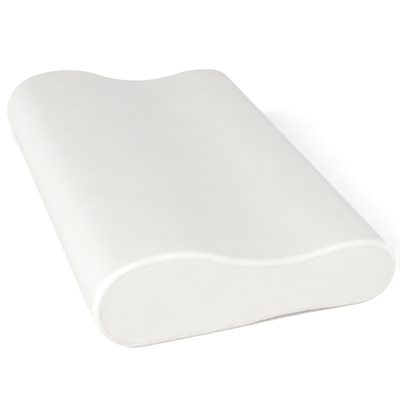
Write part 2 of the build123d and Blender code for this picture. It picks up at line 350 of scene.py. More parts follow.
# %% [markdown]
# ## Levels: where the columns of a layer lie
#
# A level is one column of the grid: how far along X it is, how far inside the section, how far towards
# the middle line of the panel, and the distance walked from the pillow's middle. The walk is what the
# settled cloth is looked up by.

# %% Levels of the tube, the rounded edge and the panel
def edge_levels(depth, steps):
    """Columns round the end edge of a layer at a depth, as (x inset, offset, reach, walk)."""
    levels = []
    for turn in np.linspace(0, math.pi / 2, steps + 1)[1:]:
        inset = END_EDGE - (END_EDGE - depth) * math.sin(turn)
        offset = END_EDGE - (END_EDGE - depth) * math.cos(turn)
        levels.append((inset, offset, 0.0, TUBE_END + END_EDGE * turn))
    return levels


def panel_levels(depth, offsets, reaches):
    """Columns of a flat end panel, first as rings inside the seam, then towards the middle line."""
    levels = [(depth, offset, 0.0, SEAM_WALK + offset - END_EDGE) for offset in offsets]
    ring_walk = SEAM_WALK + RING_DEPTH - END_EDGE
    levels += [(depth, RING_DEPTH, reach, ring_walk + MIDDLE_WALK * reach) for reach in reaches]
    return levels


def both_ends(tube_x, depth, right_levels):
    """Columns from the left end to the right, as arrays of x, offset, reach and walk."""
    right = [(HALF_LENGTH - inset, offset, reach, walk) for inset, offset, reach, walk in right_levels]
    left = [(-x, offset, reach, -walk) for x, offset, reach, walk in right[::-1]]
    tube = [(x, depth, 0.0, x) for x in tube_x]
    return np.array(left + tube + right).T


def layer_grid(distance, levels):
    """Points of a layer's surface from its rows and its columns."""
    x, offset, reach, _ = levels
    return place(distance, x, offset, reach)


# %% [markdown]
# ## Letting the cloth settle
#
# A cover that is drawn over foam isn't a perfect tube. Its seams pull tight, the cloth beside them
# gathers, and the flat panels swell a little. A whole closed skin is simulated once, as cloth with
# pressure inside and a weak hold on its place, and the seam lines shrink. Each soft layer then looks up
# how far the skin has moved, so that the liner and the foam stay inside the cover.

# %% Settings of the cloth
LAST_FRAME = 20
MOST_SHIFT = 2.5 * MM
FIRST_JITTER = 0.15 * MM
SEAM_REACH = 3 * MM
PANEL_HOLD, TUBE_HOLD, SEAM_HOLD = 0.12, 0.2, 0.5
CLOTH_SETTINGS = {
    "quality": 6,
    "mass": 0.2,
    "tension_stiffness": 15,
    "compression_stiffness": 8,
    "shear_stiffness": 5,
    "bending_stiffness": 0.3,
    "use_pressure": True,
    "uniform_pressure_force": 8,
    "vertex_group_mass": "hold",
    "pin_stiffness": 1,
    "vertex_group_shrink": "gather",
    "shrink_min": -0.004,
    "shrink_max": 0.03,
}


# %% The skin and how much of its shift is kept
def skin_grid():
    """Rows, columns and points of the closed skin that is simulated."""
    distance = tidy_rows([0.0], 5.2 * MM)
    tube_x = np.linspace(-TUBE_END, TUBE_END, 97)
    reaches = [0.2, 0.4, 0.6, 0.8, 1.0]
    right = edge_levels(0.0, 3) + panel_levels(0.0, [8 * MM, 11 * MM, 14 * MM], reaches)
    levels = both_ends(tube_x, 0.0, right)
    return distance, levels, layer_grid(distance, levels)


def calm(shift, passes=12, crease=0.12):
    """The broad part of the shift, with a little of its fine creases left in."""
    broad = shift.copy()
    for _ in range(passes):
        broad = (np.roll(broad, 1, axis=0) + 2 * broad + np.roll(broad, -1, axis=0)) / 4
        broad[:, 1:-1] = (broad[:, :-2] + 2 * broad[:, 1:-1] + broad[:, 2:]) / 4
    return broad + crease * (shift - broad)


# %% Simulate the skin
def settled_shift():
    """How far each place of the skin moves as the cloth settles, on the skin's own grid."""
    distance, levels, points = skin_grid()
    index = number(points)
    for column in (0, -1):
        share_middle(index, column)
    start = points.reshape(-1, 3) + rng.normal(0, FIRST_JITTER, (index.size, 3))
    mesh = bpy.data.meshes.new("skin")
    mesh.from_pydata([tuple(p) for p in start], [], grid_cells(index).tolist())
    skin = put_in_scene("skin", mesh)

    walk = np.abs(levels[3])
    seam = np.exp(-(((walk - SEAM_WALK) / SEAM_REACH) ** 2))
    panel = walk > SEAM_WALK + 2 * MM
    hold_by_column = np.where(panel, PANEL_HOLD, TUBE_HOLD) + SEAM_HOLD * seam
    hold = skin.vertex_groups.new(name="hold")
    gather = skin.vertex_groups.new(name="gather")
    for column, members in enumerate(index.T.tolist()):
        hold.add(members, float(hold_by_column[column]), "REPLACE")
        gather.add(members, float(seam[column]), "REPLACE")

    cloth = skin.modifiers.new("settle", "CLOTH")
    for name, value in CLOTH_SETTINGS.items():
        setattr(cloth.settings, name, value)
    cloth.settings.effector_weights.gravity = 0
    cloth.collision_settings.use_collision = False
    cloth.point_cache.frame_end = LAST_FRAME
    for frame_number in range(1, LAST_FRAME + 1):
        bpy.context.scene.frame_set(frame_number)
    settled = skin.evaluated_get(bpy.context.evaluated_depsgraph_get()).to_mesh()
    moved = np.empty(len(settled.vertices) * 3)
    settled.vertices.foreach_get("co", moved)
    shift = moved.reshape(-1, 3)[index] - points
    bpy.context.scene.frame_set(1)
    bpy.data.objects.remove(skin)
    size = np.linalg.norm(shift, axis=-1, keepdims=True)
    print(f"cloth moved {1000 * size.mean():.2f} mm on average, {1000 * size.max():.2f} mm at most")
    return distance, levels[3], calm(shift * np.minimum(1, MOST_SHIFT / np.maximum(size, 1e-9)))


settled_rows, settled_walk, settled = settled_shift()


# %% Look up the settled cloth
def slopes(values, at):
    """Slopes along the first axis, for a smooth curve through uneven places."""
    gaps = np.diff(at).reshape((-1,) + (1,) * (values.ndim - 1))
    steps = np.diff(values, axis=0) / gaps
    inside = (steps[:-1] * gaps[1:] + steps[1:] * gaps[:-1]) / (gaps[:-1] + gaps[1:])
    return np.concatenate([steps[:1], inside, steps[-1:]])


def resample(values, at, wanted):
    """Values at new places along the first axis, by cubic curves through the old ones."""
    slope = slopes(values, at)
    cell = np.clip(np.searchsorted(at, wanted, side="right") - 1, 0, len(at) - 2)
    shape = (-1,) + (1,) * (values.ndim - 1)
    gap = (at[cell + 1] - at[cell]).reshape(shape)
    t = ((wanted - at[cell]) / (at[cell + 1] - at[cell])).reshape(shape)
    start = values[cell] * (1 + 2 * t) * (1 - t) ** 2 + slope[cell] * gap * t * (1 - t) ** 2
    return start + values[cell + 1] * t * t * (3 - 2 * t) + slope[cell + 1] * gap * t * t * (t - 1)


# %% Settle a layer
def zip_fade(distance, x):
    """0 where the zip holds the cloth to its tapes, 1 away from it."""
    from_zip = np.minimum(np.mod(distance, AROUND), AROUND - np.mod(distance, AROUND))
    beside = ease((from_zip - 14 * MM) / (16 * MM))[:, None]
    beyond = ease((np.abs(x) - OPENING_END - 4 * MM) / (16 * MM))[None, :]
    return np.maximum(beside, beyond)[..., None]


def settle(points, distance, levels):
    """Move a layer's points as the settled skin moved there, and keep it on or above the bed."""
    round_again = np.concatenate([settled_rows[-3:] - AROUND, settled_rows, settled_rows[:4] + AROUND])
    values = np.concatenate([settled[-3:], settled, settled[:4]])
    by_row = resample(values, round_again, np.mod(distance, AROUND))
    shift = resample(by_row.transpose(1, 0, 2), settled_walk, levels[3]).transpose(1, 0, 2)
    moved = points + shift * zip_fade(distance, levels[0])
    moved[..., 2] = np.maximum(moved[..., 2], points[..., 2].min())
    return moved


# %% [markdown]
# ## The cover's wrap
#
# The wrap is one panel of knitted cloth. Its long edges are turned in and stitched to the zip, and its
# ends are sewn to the end panels with the seam inside, so the cloth rolls over into a narrow groove.
# The stitches pull the cloth in a little at each step, which leaves small uneven gathers beside the seam.

# %% Rolls, gathers and hems
OPENING_WALK = LOW_NOSE * math.asin(OPENING_HALF / LOW_NOSE)
FOLD = COVER_WALL
WRAP_ROLL = [(0.03, 6.2), (0.16, 6.45), (0.5, 6.6)]
SEAM_BAND = 10 * MM


def uneven_wave(distance, lengths, seed):
    """A wave round the section made of several wave lengths, the same after one turn."""
    draw = random.Random(seed)
    wave = np.zeros_like(distance)
    for length in lengths:
        turns = round(AROUND / length)
        wave += np.cos(2 * math.pi * (turns * distance / AROUND + draw.random()))
    return wave / math.sqrt(len(lengths))


def gathers(distance, walk, side):
    """Small ripples that stand out from the cloth beside a seam and fade away from it."""
    ripple = uneven_wave(distance, [13 * MM, 17 * MM, 23 * MM, 31 * MM], 11 + side)
    swell = uneven_wave(distance, [55 * MM, 90 * MM, 140 * MM], 21 + side)
    near = np.exp(-(((walk - SEAM_WALK) / SEAM_BAND) ** 2))
    at_seam = np.exp(-(((walk - SEAM_WALK) / (1.2 * MM)) ** 2))
    height = 0.22 * MM * (1 + 0.5 * swell) * ripple
    return height[:, None] * (near - 0.7 * at_seam)[None, :]


def seam_wander(distance, walk, side):
    """How far the sewn edge strays from its line: a hand-guided seam is never quite even."""
    stray = uneven_wave(distance, [19 * MM, 33 * MM, 61 * MM], 41 + side)
    near = np.exp(-(((walk - SEAM_WALK) / (2.2 * MM)) ** 2))
    return 0.3 * MM * stray[:, None] * near[None, :]


# %% Folds at the opening, and the two sides of the pillow
def opening_gap(distance, x):
    """Distance from each place of the wrap to the edge of the zip's opening."""
    from_zip = np.minimum(np.mod(distance, AROUND), AROUND - np.mod(distance, AROUND))
    beside = np.maximum(from_zip - OPENING_WALK, 0)[:, None]
    beyond = np.maximum(np.abs(x) - OPENING_END, 0)[None, :]
    return np.hypot(beside, beyond)


def fold_depth(gap):
    """How far the cloth's face has rolled in at a distance from the opening's edge."""
    left = np.clip(FOLD - gap, 0, FOLD - 0.02 * MM)
    return FOLD - np.sqrt(FOLD**2 - left**2)


def outward_at(distance):
    """Outward directions in space, one for each row."""
    _, out = on_section(distance)
    return np.concatenate([np.zeros((len(out), 1)), out], axis=1)[:, None, :]


def by_side(effect, distance, walk):
    """An effect worked out on its own for the left half and for the right half."""
    right, left = (effect(distance, np.abs(walk), side) for side in (0, 1))
    return np.where(walk < 0, left, right)


# %% Make the wrap
EDGE_STEPS = (0.05, 0.25, 0.6, 1.1, 1.6, 2.0, 2.4, 3.2, 4.8, 6.4, 7.9, 8.2)
STITCH_DENT = 0.35 * MM
STITCH_WIDTH = 0.5 * MM
JOIN_DENT = 0.8 * MM
JOIN_WIDTH = 0.7 * MM


def wrap_rows():
    """Rows that crowd towards the edge of the zip's opening, where the cloth folds."""
    middle = [0.0, 0.5 * MM, 1.2 * MM, 2.4 * MM, 3.8 * MM]
    edge = [OPENING_WALK + step * MM for step in EDGE_STEPS]
    return tidy_rows(middle + edge + [OPENING_WALK + 10.5 * MM], 3 * MM)


def wrap_columns():
    """Columns along the tube that crowd towards the ends of the opening."""
    past = [OPENING_END + step * MM for step in (0.05, 0.25, 0.6, 1.1, 1.6, 2.6)]
    inside = np.linspace(0, OPENING_END - 0.05 * MM, 56)
    outside = np.linspace(past[-1], TUBE_END - 2 * MM, 13)[1:]
    right = np.concatenate([inside[1:], past, outside, [TUBE_END]])
    return np.concatenate([-right[::-1], [0.0], right])


# %% Shape the wrap
def make_cover_wrap(material):
    """The wrap: outer and inner face, gathers, hems beside the zip and the opening itself."""
    distance, tube_x = wrap_rows(), wrap_columns()
    roll = [(inset * MM, offset * MM, 0.0, SEAM_WALK) for inset, offset in WRAP_ROLL]
    lining = [(COVER_WALL, offset, 0.0, SEAM_WALK) for _, offset, _, _ in roll]
    outer_levels = both_ends(tube_x, 0.0, edge_levels(0.0, 9) + roll)
    inner_levels = both_ends(tube_x, COVER_WALL, edge_levels(COVER_WALL, 9) + lining)
    x, walk = outer_levels[0], outer_levels[3]

    gap = opening_gap(distance, x)
    from_zip = np.minimum(distance, AROUND - distance)[:, None]
    beyond_zip = (np.abs(x) > OPENING_END)[None, :]
    stitch_line = np.exp(-(((gap - HEM_STITCH) / STITCH_WIDTH) ** 2)) * ~beyond_zip
    joined = np.exp(-((from_zip / JOIN_WIDTH) ** 2)) * ease((gap - FOLD) / FOLD) * beyond_zip
    dent = fold_depth(gap) + STITCH_DENT * stitch_line + JOIN_DENT * joined
    hem = (gap < HEM_WIDTH) & ~beyond_zip
    lining_depth = np.where(hem, COVER_WALL - np.minimum(dent, COVER_WALL), 0.0)
    stray = by_side(gathers, distance, walk) + by_side(seam_wander, distance, walk)
    walls = []
    for levels, depth in ((outer_levels, dent), (inner_levels, lining_depth)):
        grid = layer_grid(distance, levels) + outward_at(distance) * (stray - depth)[..., None]
        walls.append(settle(grid, distance, levels))
    walls[0][..., 2] = np.maximum(walls[0][..., 2], 0.0)

    row_middle = (distance + np.append(distance[1:], AROUND)) / 2
    row_zip = np.minimum(row_middle, AROUND - row_middle)
    open_cell = (row_zip < OPENING_WALK)[:, None] & (np.abs((x[:-1] + x[1:]) / 2) < OPENING_END)[None, :]
    flat = spread(distance, walk)
    return make_cloth("cover_wrap_cloth", *walls, material, flat, 70, keep=~open_cell)


# %% [markdown]
# ## The cover's end panels
#
# Each end panel is one flat piece of the same cloth, cut to the wave. It is sewn to the wrap with the
# seam inside, so its edge dives into the same groove, and it swells a little between its edges.

# %% Make an end panel
PANEL_ROLL = [(0.5, 6.64), (0.24, 6.8), (0.12, 7.15), (0.08, 8.0), (0.07, 9.5), (0.06, 11.5), (0.05, 14.0)]


def one_end(levels, side):
    """The left or right half of a set of columns that has no tube."""
    half = levels.shape[1] // 2
    return levels[:, :half] if side < 0 else levels[:, half:]


def middle_column(side):
    """The column of an end panel that lies on its middle line."""
    return 0 if side < 0 else -1


def make_cover_end(name, side, material):
    """One end panel of the cover, on the left (-1) or on the right (1)."""
    distance = wrap_rows()
    outer_list = [(i * MM, o * MM, 0.0, SEAM_WALK + o * MM - END_EDGE) for i, o in PANEL_ROLL]
    ring_walk = SEAM_WALK + RING_DEPTH - END_EDGE
    for reach in np.linspace(0, 1, 15)[1:]:
        outer_list.append((PANEL_ROLL[-1][0] * MM, RING_DEPTH, reach, ring_walk + MIDDLE_WALK * reach))
    inner_list = [(COVER_WALL, offset, reach, walk) for _, offset, reach, walk in outer_list]
    walk = np.abs(one_end(both_ends([], 0.0, outer_list), side)[3])
    draw = 0 if side > 0 else 1
    ripple = gathers(distance, walk, draw)[..., None] * np.array([float(side), 0.0, 0.0])
    stray = seam_wander(distance, walk, draw)[..., None] * outward_at(distance)
    walls = []
    for columns in (outer_list, inner_list):
        levels = one_end(both_ends([], 0.0, columns), side)
        walls.append(settle(layer_grid(distance, levels) + ripple + stray, distance, levels))
    return make_cloth(name, *walls, material, middle=middle_column(side))


# %% [markdown]
# ## Building materials
#
# A material is a small tree of nodes. One helper adds a node, sets it up and links it. Colours are
# written as the hex values that a colour picker shows, and turned to linear light by one function.

# %% Helpers for node trees
SOFT_NOISE = 0.55


def linear(hex_colour):
    """Linear colour from an sRGB hex value."""
    channels = [int(hex_colour[k:k + 2], 16) / 255 for k in (1, 3, 5)]
    return tuple(c / 12.92 if c <= 0.04045 else ((c + 0.055) / 1.055) ** 2.4 for c in channels) + (1.0,)


def add(tree, kind, inputs=None, stops=(), **settings):
    """Add a node, set it up, and set or link its inputs. A node given as an input links its first output."""
    made = tree.nodes.new(kind)
    for name, value in settings.items():
        setattr(made, name, value)
    for name, value in (inputs or {}).items():
        if isinstance(value, bpy.types.Node):
            value = value.outputs[0]
        if isinstance(value, bpy.types.NodeSocket):
            tree.links.new(value, made.inputs[name])
        else:
            made.inputs[name].default_value = value
    for k, (position, hex_colour) in enumerate(stops):
        made.color_ramp.elements[k].color = linear(hex_colour)
        made.color_ramp.elements[k].position = position
    return made


# %% Start and finish a material
def start_material(name, coordinates):
    """An empty material, its tree, and where on the piece each point is: UV, or Object for its place."""
    material = bpy.data.materials.new(name)
    material.use_nodes = True
    tree = material.node_tree
    tree.nodes.clear()
    return material, tree, add(tree, "ShaderNodeTexCoord").outputs[coordinates]


def finish_material(tree, inputs, shader="ShaderNodeBsdfPrincipled"):
    """The main shader, with its inputs, and the output."""
    surface = add(tree, shader, inputs)
    add(tree, "ShaderNodeOutputMaterial", {"Surface": surface})


def per_ridge(spacing):
    """A wave node's scale for ridges at a real spacing: the node makes 20 / (2 pi) of them per unit."""
    return 2 * math.pi / (20 * spacing)


def drifting_colour(tree, place_on, size, dark, light):
    """Soft spots of about a real size, and a colour that drifts between two tones with them."""
    noise = {"Vector": place_on, "Scale": 1 / size, "Detail": 3.0, "Roughness": SOFT_NOISE}
    spots = add(tree, "ShaderNodeTexNoise", noise)
    return spots, add(tree, "ShaderNodeValToRGB", {"Fac": spots}, [(0.3, dark), (0.7, light)])


# %% [markdown]
# ## Cover cloth: brushed polyester knit
#
# The cover is a weft-knitted polyester, brushed on its face. Loops stand in columns about 1.1 mm apart
# and in courses about 0.9 mm apart. Brushing leaves a short pile that hides most of the loops and gives
# the cloth its soft, even glow, so the loops are a faint bump and the sheen does the rest.

# %% Cover cloth
def brushed_knit():
    """Loops and pile are a fine bump, and sheen gives the soft pale edge of brushed cloth."""
    material, tree, flat = start_material("brushed_polyester_knit", "UV")
    ridges = []
    for axis, spacing in (("X", 1.1 * MM), ("Y", 0.9 * MM)):
        wave = {"Vector": flat, "Scale": per_ridge(spacing)}
        ridges.append(add(tree, "ShaderNodeTexWave", wave, bands_direction=axis).outputs["Fac"])
    loops = add(tree, "ShaderNodeMath", {0: ridges[0], 1: ridges[1]}, operation="MULTIPLY")
    noise = {"Vector": flat, "Roughness": SOFT_NOISE}
    pile = add(tree, "ShaderNodeTexNoise", {**noise, "Scale": 1 / (0.9 * MM), "Detail": 4.0})
    cloud = add(tree, "ShaderNodeTexNoise", {**noise, "Scale": 1 / (38 * MM), "Detail": 3.0})
    relief = add(tree, "ShaderNodeMath", {0: loops, 1: 0.5, 2: pile}, operation="MULTIPLY_ADD")
    fine = add(tree, "ShaderNodeBump", {"Height": relief, "Strength": 0.6, "Distance": 0.2 * MM})
    broad = {"Height": cloud, "Strength": 0.1, "Distance": 0.5 * MM, "Normal": fine}
    soft = add(tree, "ShaderNodeBump", broad)
    pile_share = add(tree, "ShaderNodeMath", {0: pile, 1: 0.25}, operation="MULTIPLY")
    tint = add(tree, "ShaderNodeMath", {0: cloud, 1: 0.75, 2: pile_share}, operation="MULTIPLY_ADD")
    finish_material(tree, {
        "Base Color": add(tree, "ShaderNodeValToRGB", {"Fac": tint}, [(0.3, "#F3F1ED"), (0.7, "#F6F5F2")]),
        "Normal": soft,
        "Roughness": 0.55,
        "IOR": 1.5,
        "Specular IOR Level": 0.5,
        "Sheen Weight": 0.25,
        "Sheen Roughness": 0.45,
        "Sheen Tint": linear("#FFFFFF"),
    })
    return material


# %% Make the cover
def keep_piece(piece, node):
    """Move a piece with the pillow's body, and hide the CAD node that it stands in for."""
    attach(piece, "pillow")
    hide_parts(node)
    return piece


cover_cloth = brushed_knit()
cover_wrap = make_cover_wrap(cover_cloth)
cover_end_left = make_cover_end("cover_end_left_cloth", -1, cover_cloth)
cover_end_right = make_cover_end("cover_end_right_cloth", 1, cover_cloth)
keep_piece(cover_wrap, "cover_wrap")
keep_piece(cover_end_left, "cover_end_left")
keep_piece(cover_end_right, "cover_end_right")


# %% [markdown]
# ## The zip's tapes
#
# Each tape is a narrow strip of woven polyester that runs under the hem. The hem's stitches go through
# it, and the coil is sewn along its free edge. It is stiff enough to follow the nose without a crease.

# %% Make the tapes
TAPE_OUTER = 2.9 * MM
TAPE_INNER = 3.5 * MM
TAPE_LOW = 0.8 * MM
TAPE_HIGH = 13 * MM
TAPE_END = 210 * MM
TAPE_REACH = LOW_NOSE - TAPE_OUTER


def nose_walk(height, reach):
    """Distance from the zip at which a line at this reach is this high off the zip."""
    return LOW_NOSE * np.arcsin(np.asarray(height) / reach)


def make_tape(name, side, material):
    """One tape, above the zip's row (1) or below it (-1)."""
    distance = np.sort(side * nose_walk(np.linspace(TAPE_LOW, TAPE_HIGH, 9), TAPE_REACH))
    across = np.linspace(-TAPE_END, TAPE_END, 141)
    walls = []
    for depth in (TAPE_OUTER, TAPE_INNER):
        walls.append(layer_grid(distance, np.array([(x, depth, 0.0, x) for x in across]).T))
    return make_cloth(name, *walls, material, spread(distance, across), 40, closed=False)


# %% [markdown]
# ## Woven tape, thread, coil and metal
#
# The tape is a tight twill of polyester yarn. The sewing thread is a bright filament with a twist. The
# coil is a nylon monofilament, so light passes a little way into it and its highlights are sharp. The
# slider, its pull and the stops are die-cast zinc with a satin nickel plating, worn a little uneven by
# handling.

# %% Zip materials
def woven_twill():
    """Slanted ribs show on a matt face, and the colour is painted a little darker in the grooves, as painted
    shade.
    """
    material, tree, flat = start_material("woven_polyester_twill", "UV")
    turned = add(tree, "ShaderNodeMapping", {"Vector": flat, "Rotation": (0, 0, math.radians(52))})
    slanted = {"Vector": turned, "Scale": per_ridge(0.7 * MM)}
    ribs = add(tree, "ShaderNodeTexWave", slanted, bands_direction="X").outputs["Fac"]
    lengthwise = {"Vector": flat, "Scale": per_ridge(0.5 * MM)}
    yarns = add(tree, "ShaderNodeTexWave", lengthwise, bands_direction="Y").outputs["Fac"]
    relief = add(tree, "ShaderNodeMath", {0: yarns, 1: 0.4, 2: ribs}, operation="MULTIPLY_ADD")
    finish_material(tree, {
        # Base colour: painted shade, darker in the grooves between the ribs and lighter on their crests.
        "Base Color": add(tree, "ShaderNodeValToRGB", {"Fac": ribs}, [(0.3, "#E2DFDA"), (0.7, "#EFEDE9")]),
        "Normal": add(tree, "ShaderNodeBump", {"Height": relief, "Strength": 0.6, "Distance": 0.12 * MM}),
        "Roughness": 0.7,
        "IOR": 1.55,
    })
    return material


def filament_thread():
    """A fine fuzz breaks up the highlight along the thread."""
    material, tree, place_on = start_material("polyester_filament_thread", "Object")
    fuzz, colour = drifting_colour(tree, place_on, 0.4 * MM, "#E9E6E1", "#F3F1ED")
    finish_material(tree, {
        "Base Color": colour,
        "Normal": add(tree, "ShaderNodeBump", {"Height": fuzz, "Strength": 0.4, "Distance": 0.05 * MM}),
        "Roughness": 0.5,
        "IOR": 1.55,
    })
    return material


# %% Coil and metal
def nylon_monofilament():
    """A smooth, slightly milky filament with sharp highlights."""
    material, tree, place_on = start_material("nylon_monofilament", "Object")
    _, colour = drifting_colour(tree, place_on, 9 * MM, "#E6E4DF", "#F0EEEA")
    finish_material(tree, {
        "Base Color": colour,
        "Roughness": 0.3,
        "IOR": 1.53,
        "Subsurface Weight": 0.15,
        "Subsurface Radius": (0.6 * MM, 0.6 * MM, 0.5 * MM),
    })
    return material


def plated_zinc():
    """A satin metal whose gloss drifts where handling has worn the plating."""
    material, tree, place_on = start_material("nickel_plated_zinc_casting", "Object")
    wear, colour = drifting_colour(tree, place_on, 1.5 * MM, "#B9B6B0", "#C9C7C2")
    finish_material(tree, {
        "Base Color": colour,
        "Roughness": add(tree, "ShaderNodeMapRange", {"Value": wear, "To Min": 0.22, "To Max": 0.4}),
        "Metallic": 1.0,
    })
    return material


# %% [markdown]
# ## Repeated parts: stitches and coil
#
# A row of stitches is one short arch of thread, placed again and again along a line. The line comes in
# as a mesh of edges, and the tree turns it into a curve, steps along it and sets a stitch at each step.
# An overlock seam is the same row with each stitch turned across the line. The coil is one filament wound
# round the zip's edge, flattened a little so that its heads face the other row.

# %% Build the trees
def new_tree(name, inputs):
    """A geometry tree with named inputs: (name, socket type, default)."""
    tree = bpy.data.node_groups.new(name, "GeometryNodeTree")
    tree.interface.new_socket("Geometry", in_out="INPUT", socket_type="NodeSocketGeometry")
    tree.interface.new_socket("Geometry", in_out="OUTPUT", socket_type="NodeSocketGeometry")
    for label, kind, default in inputs:
        made = tree.interface.new_socket(label, in_out="INPUT", socket_type="NodeSocket" + kind)
        if default is not None:
            made.default_value = default
    return tree, add(tree, "NodeGroupInput").outputs


def close_tree(tree, geometry, material):
    """End a tree: real geometry with a material on it."""
    real = add(tree, "GeometryNodeRealizeInstances", {"Geometry": geometry})
    painted = add(tree, "GeometryNodeSetMaterial", {"Geometry": real, "Material": material})
    add(tree, "NodeGroupOutput", {"Geometry": painted})
    return tree


# %% The stitch tree
def stitch_tree():
    """A row of short arches of thread along a line."""
    tree, given = new_tree("stitch_row", [
        ("Pitch", "Float", 3 * MM),
        ("Length", "Float", 2.5 * MM),
        ("Thread radius", "Float", 0.25 * MM),
        ("Rise", "Float", 0.3 * MM),
        ("Turn", "Float", 0.0),
        ("Unevenness", "Float", 0.06),
        ("Seed", "Int", 5),
        ("Material", "Material", None),
    ])
    line = add(tree, "GeometryNodeMeshToCurve", {"Mesh": given["Geometry"]})
    steps = add(tree, "GeometryNodeCurveToPoints", {"Curve": line, "Length": given["Pitch"]}, mode="LENGTH")

    arch_inputs = {"Resolution": 6}
    for end, length_share, rise_share in (("Start", -0.5, -0.8), ("Middle", 0.0, 1.2), ("End", 0.5, -0.8)):
        along = add(tree, "ShaderNodeMath", {0: given["Length"], 1: length_share}, operation="MULTIPLY")
        up = add(tree, "ShaderNodeMath", {0: given["Rise"], 1: rise_share}, operation="MULTIPLY")
        arch_inputs[end] = add(tree, "ShaderNodeCombineXYZ", {"X": along, "Z": up})
    arch = add(tree, "GeometryNodeCurveQuadraticBezier", arch_inputs)
    circle = {"Resolution": 6, "Radius": given["Thread radius"]}
    profile = add(tree, "GeometryNodeCurvePrimitiveCircle", circle)
    stitch = add(
        tree, "GeometryNodeCurveToMesh", {"Curve": arch, "Profile Curve": profile, "Fill Caps": True}
    )

    outward = add(tree, "GeometryNodeInputNamedAttribute", {"Name": "outward"}, data_type="FLOAT_VECTOR")
    facing = add(
        tree,
        "FunctionNodeAxesToRotation",
        {"Primary Axis": outward.outputs["Attribute"], "Secondary Axis": steps.outputs["Tangent"]},
        primary_axis="Z",
        secondary_axis="X",
    )
    least = add(tree, "ShaderNodeMath", {0: given["Unevenness"], 1: -1.0}, operation="MULTIPLY")
    random_inputs = {2: least, 3: given["Unevenness"], "Seed": given["Seed"]}
    wobble = add(tree, "FunctionNodeRandomValue", random_inputs, data_type="FLOAT").outputs[1]
    angle = add(tree, "ShaderNodeMath", {0: given["Turn"], 1: wobble}, operation="ADD")
    turn = add(tree, "ShaderNodeCombineXYZ", {"Z": angle})
    turned = add(
        tree, "FunctionNodeRotateRotation", {"Rotation": facing, "Rotate By": turn}, rotation_space="LOCAL"
    )
    row = add(
        tree,
        "GeometryNodeInstanceOnPoints",
        {"Points": steps.outputs["Points"], "Instance": stitch, "Rotation": turned},
    )
    return close_tree(tree, row, given["Material"])


# %% The coil tree
def coil_tree():
    """A filament wound round the X axis, with its own width and height."""
    tree, given = new_tree("wound_coil", [
        ("Turns", "Float", 260.0),
        ("Length", "Float", 0.39),
        ("Half width", "Float", 0.8 * MM),
        ("Half height", "Float", 0.8 * MM),
        ("Filament radius", "Float", 0.33 * MM),
        ("Material", "Material", None),
    ])
    spiral = {"Resolution": 12, "Rotations": given["Turns"], "Height": given["Length"]}
    wound = add(tree, "GeometryNodeCurveSpiral", {**spiral, "Start Radius": 1.0, "End Radius": 1.0})
    flat_scale = {"X": given["Half width"], "Y": given["Half height"], "Z": 1.0}
    flatten = add(tree, "ShaderNodeCombineXYZ", flat_scale)
    flattened = add(tree, "GeometryNodeTransform", {"Geometry": wound, "Scale": flatten})
    laid = add(tree, "GeometryNodeTransform", {"Geometry": flattened, "Rotation": (0, math.pi / 2, 0)})
    circle = {"Resolution": 6, "Radius": given["Filament radius"]}
    profile = add(tree, "GeometryNodeCurvePrimitiveCircle", circle)
    filament = add(
        tree, "GeometryNodeCurveToMesh", {"Curve": laid, "Profile Curve": profile, "Fill Caps": True}
    )
    return close_tree(tree, filament, given["Material"])


# %% Run a tree on a line
def line_object(name, points, outward, closed=False):
    """A line of edges, with the outward direction kept at each point."""
    mesh = bpy.data.meshes.new(name)
    count = len(points)
    edges = [(k, k + 1) for k in range(count - 1)] + ([(count - 1, 0)] if closed else [])
    mesh.from_pydata(np.asarray(points).tolist(), edges, [])
    kept = mesh.attributes.new("outward", "FLOAT_VECTOR", "POINT")
    kept.data.foreach_set("vector", np.asarray(outward, dtype=np.float32).ravel())
    return put_in_scene(name, mesh)


def grow(name, source, tree, values):
    """Run a geometry tree on an object and keep the result as a plain mesh."""
    modifier = source.modifiers.new("grow", "NODES")
    modifier.node_group = tree
    for item in tree.interface.items_tree:
        if item.in_out == "INPUT" and item.name in values:
            modifier[item.identifier] = values[item.name]
    bpy.context.view_layer.update()
    shape = source.evaluated_get(bpy.context.evaluated_depsgraph_get())
    mesh = bpy.data.meshes.new_from_object(shape)
    mesh.name = name
    mesh.shade_smooth()
    mesh.set_sharp_from_angle(angle=math.radians(60))
    source.modifiers.remove(modifier)
    bpy.data.objects.remove(source)
    print(f"{name}: {len(mesh.polygons)} faces")
    return put_in_scene(name, mesh)


# %% Sew a row of stitches
thread = filament_thread()
stitches = stitch_tree()


def sew(node, path, facing, seed, size, closed=False, **more):
    """A row of stitches along a line. size is their pitch, length, thread radius and rise."""
    values = dict(zip(("Pitch", "Length", "Thread radius", "Rise"), size))
    values.update({"Seed": seed, "Material": thread}, **more)
    row = grow(node + "_thread", line_object(node + "_path", path, facing, closed), stitches, values)
    return keep_piece(row, node)


# %% Make the zip
COIL_PITCH = 1.5 * MM
FILAMENT = 0.34 * MM
HEM_STITCHES = (3.2 * MM, 2.7 * MM, 0.24 * MM, 0.25 * MM)
tape_cloth = woven_twill()
nylon = nylon_monofilament()
zinc = plated_zinc()
coil = coil_tree()


def make_coil(name):
    """One row of the coil, as long, wide and high as its CAD solid."""
    low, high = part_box(name)
    length = high.x - low.x - 2 * FILAMENT
    source = line_object(name + "_path", [(0, 0, 0), (0, 0, 1)], [(0, 0, 1)] * 2)
    piece = grow(name + "_wound", source, coil, {
        "Turns": round(length / COIL_PITCH),
        "Length": length,
        "Half width": (high.z - low.z) / 2 - FILAMENT,
        "Half height": (high.y - low.y) / 2 - FILAMENT,
        "Filament radius": FILAMENT,
        "Material": nylon,
    })
    shift = Vector((low.x + FILAMENT, (low.y + high.y) / 2, (low.z + high.z) / 2))
    piece.data.transform(Matrix.Translation(shift))
    return piece


